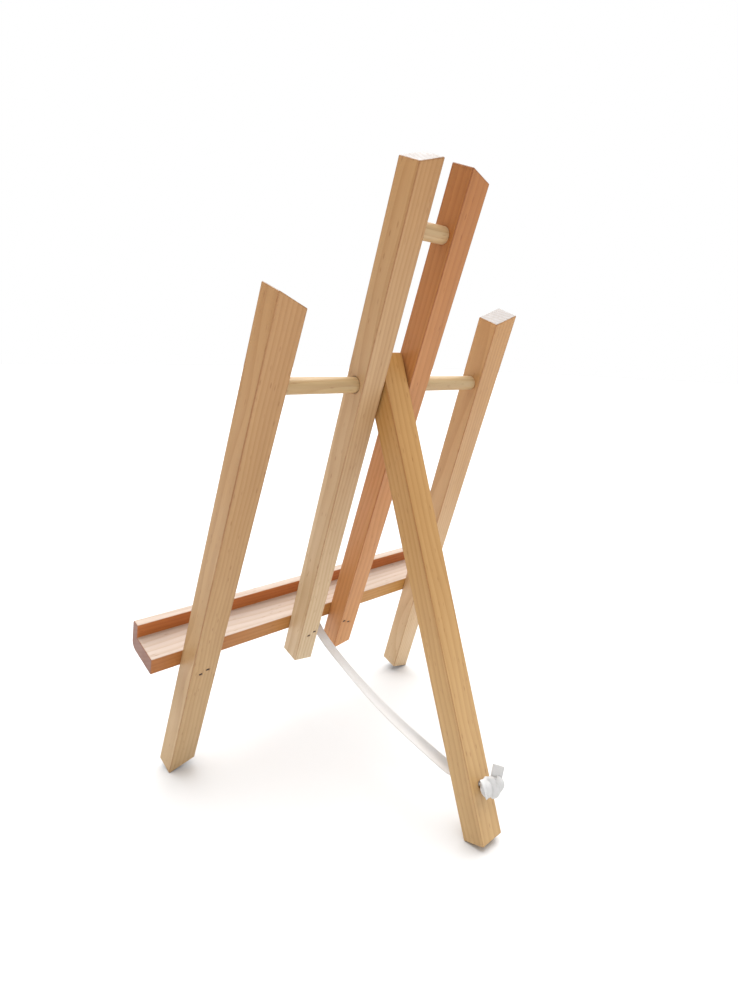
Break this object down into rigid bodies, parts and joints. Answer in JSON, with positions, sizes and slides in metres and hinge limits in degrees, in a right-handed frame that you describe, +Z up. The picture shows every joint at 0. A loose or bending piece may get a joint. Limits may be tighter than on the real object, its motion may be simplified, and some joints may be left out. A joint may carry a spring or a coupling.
{
  "type": "tabletop artist easel",
  "caption": "Wooden tabletop easel with splayed front legs, taller inner uprights, a lipped tray across the front and a hinged rear leg held open by a tape.",
  "frame": {"origin": "on the table, under the middle of the easel's bounding box, with the rear leg open", "axes": "+Z up, -Y towards the front where the picture stands, +X along the tray"},
  "size_m": [0.231, 0.1817, 0.3373],
  "materials": {
    "upright_wood": "bare sanded beech",
    "dowel_wood": "bare sanded beech dowel",
    "tray_wood": "bare sanded beech, pinkish",
    "rear_leg_wood": "bare sanded beech, yellowish",
    "fastener_steel": "plain steel wire",
    "cotton_tape": "flat woven white tape"
  },
  "bodies": {
    "front_frame": {"outer_leg_left": "upright_wood", "outer_leg_right": "upright_wood", "inner_upright_left": "upright_wood", "inner_upright_right": "upright_wood", "hinge_dowel": "dowel_wood", "top_dowel": "dowel_wood", "tray": "tray_wood", "tray_brads": "fastener_steel", "tape_staple": "fastener_steel", "tape": "cotton_tape"},
    "rear_leg_body": {"rear_leg": "rear_leg_wood", "tape_knot": "cotton_tape"}
  },
  "joints": [
    {"name": "rear_leg_fold", "type": "hinge", "parent": "front_frame", "child": "rear_leg_body", "pos_m": [0, -0.00163, 0.23774], "axis": [-1, 0, 0], "range_deg": [0, 39.2], "deforming": ["tape"]}
  ]
}
